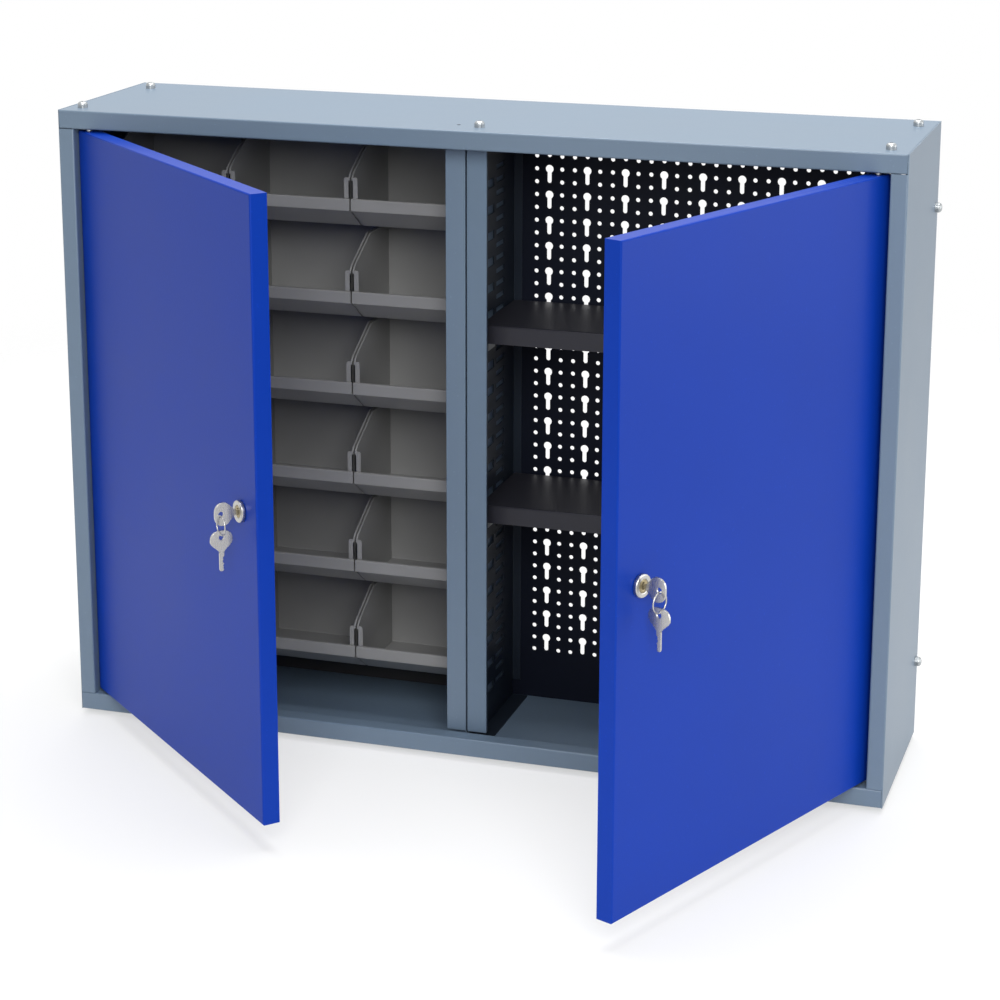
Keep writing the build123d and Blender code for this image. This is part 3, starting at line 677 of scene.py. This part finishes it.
# ---------------------------------------------------------------- bins
def moulded_bin(row, column):
    """An open-fronted bin: two cheeks with ears, a trough of one wall, a proud lip and a hook strip."""
    node = f"bin_row_{row}_column_{column}"
    (left, front, foot), (right, rear, top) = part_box(node)
    height, depth = top - foot, rear - front - BIN_PROUD - HOOK_REACH
    half = (right - left) / 2
    low, ear_top = BIN_FRONT - BIN_LIP, BIN_FRONT + BIN_EAR
    cheek = [(BIN_TOE, 0), (depth, 0), (depth, height), (BIN_SLOPE_END, height)]
    cheek += [(BIN_FIN, ear_top + BIN_FIN), (0, ear_top), (0, low)]
    trough = [(0, low), (BIN_TOE, 0), (depth, 0), (depth, height), (depth - BIN_WALL, height)]
    trough += [(depth - BIN_WALL, BIN_WALL), (BIN_TOE + BIN_WALL, BIN_WALL), (BIN_WALL, low + BIN_WALL)]
    lip = [(-BIN_PROUD, low), (BIN_WALL, low), (BIN_WALL, BIN_FRONT), (-BIN_PROUD, BIN_FRONT)]
    hook = [(depth - BIN_WALL, height), (depth - BIN_WALL, height - HOOK_SHEET)]
    hook += [(depth + HOOK_REACH - HOOK_SHEET, height - HOOK_SHEET)]
    hook += [(depth + HOOK_REACH - HOOK_SHEET, height - HOOK_DROP), (depth + HOOK_REACH, height - HOOK_DROP)]
    hook += [(depth + HOOK_REACH, height)]
    parts = [
        prism(rounded(trough, BIN_WALL / 2), -half + BIN_WALL / 2, half - BIN_WALL / 2, 0),
        prism(rounded(lip, BIN_LIP_ROUND), -half, half, 0),
        prism(np.array(hook), -HOOK_WIDTH / 2, HOOK_WIDTH / 2, 0),
    ]
    for hand in (-1, 1):
        outer, inner = hand * half, hand * (half - BIN_WALL)
        parts.append(prism(rounded(cheek, BIN_ROUND), min(outer, inner), max(outer, inner), 0))
        inside = hand * (half - BIN_EAR_WIDTH)
        tab = [(outer, low), (outer, ear_top), (inside, ear_top), (inside, low)]
        tab = rounded(tab, [BIN_CRISP, BIN_CRISP, BIN_EAR_ROUND, BIN_CRISP])
        parts.append(prism(tab, 0, BIN_WALL, 1))
    points, faces = join(parts)
    points = points + ((left + right) / 2, front + BIN_PROUD, foot)
    made = piece(f"moulded_{node}", points, faces, BIN, f"bin_{row}_{column}")
    face_outwards(made)
    soften(made, BIN_BEVEL)
    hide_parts(node)


for bin_row in range(1, BIN_ROWS + 1):
    for bin_column in range(1, BIN_COLUMNS + 1):
        moulded_bin(bin_row, bin_column)


# ---------------------------------------------------------------- locks, keys and fasteners
JOINTS = {joint["name"]: joint for joint in frame["record"]["behaviour"]["joints"]}


def screw_heads(name, places, normal):
    """Round screw heads on straight sides, domed to a small round socket, one on each place.

    The dome is a quarter of an ellipse from the straight side to the rim of the socket.
    """
    normal = Vector(normal)
    across = normal.orthogonal()
    turn = np.arange(1, 8) * math.pi / 14
    dome = np.c_[
        SOCKET_R + (HEAD_RADIUS - SOCKET_R) * np.cos(turn),
        HEAD_STRAIGHT + (HEAD_HEIGHT - HEAD_STRAIGHT) * np.sin(turn),
    ]
    side = [(SHANK_RADIUS, -SHANK), (SHANK_RADIUS, 0), (HEAD_RADIUS, 0), (HEAD_RADIUS, HEAD_STRAIGHT)]
    profile = np.vstack([side, dome, [(SOCKET_R, SOCKET_EDGE), (SOCKET_TIP, SOCKET_FLOOR)]])
    heads = join(lathe(profile, HEAD_STEPS, basis(place, across, normal)) for place in places)
    piece(name, *heads, SCREW, "cabinet")


def spare_hole():
    """The unused screw hole in the top sheet, as a dark plug that is painted shade for the inside seen
    through it.
    """
    matrix = basis((*SPARE_HOLE, HALF_HEIGHT), (1, 0, 0), (0, 0, 1))
    profile = [(SPARE_HOLE_TIP, -SPARE_HOLE_DEPTH), (SPARE_HOLE_R, -SPARE_HOLE_DEPTH)]
    profile += [(SPARE_HOLE_R, SPARE_HOLE_LID), (SPARE_HOLE_TIP, SPARE_HOLE_LID)]
    piece("spare_hole", *lathe(profile, SPARE_HOLE_STEPS, matrix), INTERIOR, "cabinet")


def lock_nut(side, origin, inward):
    """Hexagon nut on the lock barrel, against the back of the door sheet.

    Its outside is at r = half the width across flats / cos(a), with a from the middle of each flat.
    """
    matrix = basis(Vector(origin) + inward * DOOR_SHEET, inward.orthogonal(), inward)
    angles = np.arange(NUT_STEPS) * 2 * math.pi / NUT_STEPS
    bore = np.full(NUT_STEPS, NUT_BORE)
    hexagon = NUT_FLATS / 2 / np.cos((angles % (math.pi / 3)) - math.pi / 6)
    reach = np.stack([bore, hexagon, hexagon, bore, bore])
    nut = rings(reach, [0, 0, NUT_HEIGHT, NUT_HEIGHT, 0], matrix)
    piece(f"{side}_lock_nut", *nut, ZINC, f"{side}_door")


def key_shape():
    """A flat key along X: a rounded bow with a ring hole and a blade with cuts along its lower edge.

    The bow is (a |cos t|^p, b |sin t|^p) with the signs of cos and sin. Its width is multiplied by a smooth
    step w^2 (3 - 2w) that narrows it towards the blade.
    """
    angles = np.arange(KEY_STEPS) * 2 * math.pi / KEY_STEPS
    cosine, sine = np.cos(angles), np.sin(angles)
    middle, half_length = (KEY_SHOULDER + KEY_END) / 2, (KEY_END - KEY_SHOULDER) / 2
    outline = np.c_[
        middle + half_length * np.sign(cosine) * np.abs(cosine) ** KEY_SQUARE,
        KEY_BOW / 2 * np.sign(sine) * np.abs(sine) ** KEY_SQUARE,
    ]
    widen = np.clip((outline[:, 0] - KEY_SHOULDER) / KEY_TAPER, 0, 1)
    outline[:, 1] *= KEY_NECK + (1 - KEY_NECK) * widen**2 * (3 - 2 * widen)
    bow = slab_ring(arc(KEY_HOLE_R, angles, (KEY_HOLE, 0.0)), outline, KEY_THICK / 2)
    n = len(KEY_CUTS)
    stations = np.linspace(KEY_SHOULDER + KEY_SINK, KEY_TIP, n)
    lower = np.c_[stations, np.array(KEY_CUTS) * MM - KEY_BLADE / 2]
    upper = np.c_[stations, np.full(n, KEY_BLADE / 2)]
    upper[-1, 1] -= KEY_POINT
    levels = (-KEY_BLADE_THICK / 2, KEY_BLADE_THICK / 2)
    blade = np.vstack([np.c_[edge, np.full(n, level)] for level in levels for edge in (lower, upper)])
    i = np.arange(n - 1)
    faces = side_by_side(
        np.c_[i, n + i, n + 1 + i, i + 1],
        np.c_[2 * n + i, 2 * n + 1 + i, 3 * n + 1 + i, 3 * n + i],
        np.c_[i, i + 1, 2 * n + 1 + i, 2 * n + i],
        np.c_[n + i, 3 * n + i, 3 * n + 1 + i, n + 1 + i],
    )
    return join([bow, (blade, faces + [(n - 1, 2 * n - 1, 4 * n - 1, 3 * n - 1)])])


def keys(side):
    """Lock nut, key, split ring and spare key of one door."""
    lock = JOINTS[f"{side}_lock_turn"]
    away = Vector(lock["axis"]) * (1 if side == "left" else -1)
    origin = Vector(lock["pos_m"])
    up = Vector((0, 0, 1))
    across = up.cross(away)
    lock_nut(side, origin, -away)
    hanging = origin + away * KEY_HOLE + up * (SPARE_Z - KEY_HOLE)
    points, faces = key_shape()
    for name, matrix, body in (
        ("key", basis(origin, away, across), "lock_core"),
        ("spare_key", basis(hanging, up, across), "spare"),
    ):
        key = placed(points, matrix)
        made = piece(f"{side}_{name}_plated", key, faces, NICKEL, f"{side}_{body}")
        soften(made, KEY_BEVEL)
        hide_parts(f"{side}_{name}")
    centre = Vector(JOINTS[f"{side}_key_ring_swing"]["pos_m"]) - up * RING_R
    ring = torus(RING_R, RING_WIRE / 2, RING_STEPS, WIRE_STEPS, basis(centre, across, away))
    made = piece(f"{side}_split_ring", *ring, NICKEL, f"{side}_ring")
    made.data.polygons.foreach_set("use_smooth", np.ones(len(made.data.polygons), bool))
    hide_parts(f"{side}_key_ring")


spare_hole()
screw_heads("top_screws", [(x, y, HALF_HEIGHT) for x, y in TOP_SCREWS], (0, 0, 1))
screw_heads("bottom_screws", [(x, y, -HALF_HEIGHT) for x, y in TOP_SCREWS], (0, 0, -1))
for hand, name in ((-1, "left_side_screws"), (1, "right_side_screws")):
    places = [(hand * HALF_WIDTH, SIDE_SCREW_Y, z) for z in (-SIDE_SCREW_Z, SIDE_SCREW_Z)]
    screw_heads(name, places, (hand, 0, 0))
for door_side in ("left", "right"):
    keys(door_side)


# ---------------------------------------------------------------- lights, floor and camera
def surroundings():
    """White where it is seen or mirrored; a dim neutral room for the light."""
    shade = Shade(bpy.data.worlds.new("studio"))
    room = shade.node("ShaderNodeBackground", {"Color": WHITE, "Strength": ROOM})
    white = shade.node("ShaderNodeBackground", {"Color": WHITE, "Strength": 1.0})
    blend = shade.node("ShaderNodeMixShader", {0: shade.seen_directly(), 1: room, 2: white})
    return shade.end(blend, "ShaderNodeOutputWorld")


def pale_floor():
    """White floor that dissolves into the surroundings; seen directly it keeps only part of each shadow."""
    shade = new_shade("pale_floor")
    flat = shade.node("ShaderNodeVectorMath", {0: shade.place(), 1: (1.0, 1.0, 0.0)}, operation="MULTIPLY")
    reach = shade.node("ShaderNodeVectorMath", {0: flat}, out="Value", operation="LENGTH")
    near = 1.0 - reach.above(FLOOR_FADE[0], FLOOR_FADE[1] - FLOOR_FADE[0])
    lit = shade.principled(
        Base_Color=shade.mix(shade.noise(FLOOR_CLOUDS, 1.0), FLOOR_DARK, FLOOR_LIGHT),
        Roughness=0.9,
        Alpha=near,
    )
    glow = shade.node("ShaderNodeEmission", {"Color": WHITE})
    seen = shade.seen_directly() * near * FLOOR_GLOW
    return shade.end(shade.node("ShaderNodeMixShader", {0: seen, 1: lit, 2: glow}))


def studio():
    """Pale floor, white surroundings, three soft lights and the camera."""
    scene = bpy.context.scene
    scene.view_settings.view_transform = "Standard"
    scene.world = surroundings()
    half = FLOOR_FADE[1]
    points = [(-half, -half, FLOOR_Z), (half, -half, FLOOR_Z), (half, half, FLOOR_Z), (-half, half, FLOOR_Z)]
    piece("floor", points, [(0, 1, 2, 3)], pale_floor())

    for name, place, aim, size, power in LAMPS:
        data = bpy.data.lights.new(name, "AREA")
        data.size = size
        data.energy = power
        lamp = bpy.data.objects.new(name, data)
        scene.collection.objects.link(lamp)
        lamp.location = place
        lamp.rotation_euler = (Vector(place) - Vector(aim)).to_track_quat("Z", "Y").to_euler()

    data = bpy.data.cameras.new("camera")
    data.sensor_width = SENSOR
    data.lens = FOCAL * SENSOR
    data.shift_y = SHIFT_Y
    data.clip_end = FAR
    camera = bpy.data.objects.new("camera", data)
    scene.collection.objects.link(camera)
    turn = Matrix.Rotation(math.radians(YAW), 3, "Z") @ Matrix.Rotation(math.radians(90 - PITCH_DOWN), 3, "X")
    camera.rotation_euler = (turn @ Matrix.Rotation(math.radians(ROLL), 3, "Z")).to_euler()
    camera.location = CAMERA
    scene.camera = camera


studio()
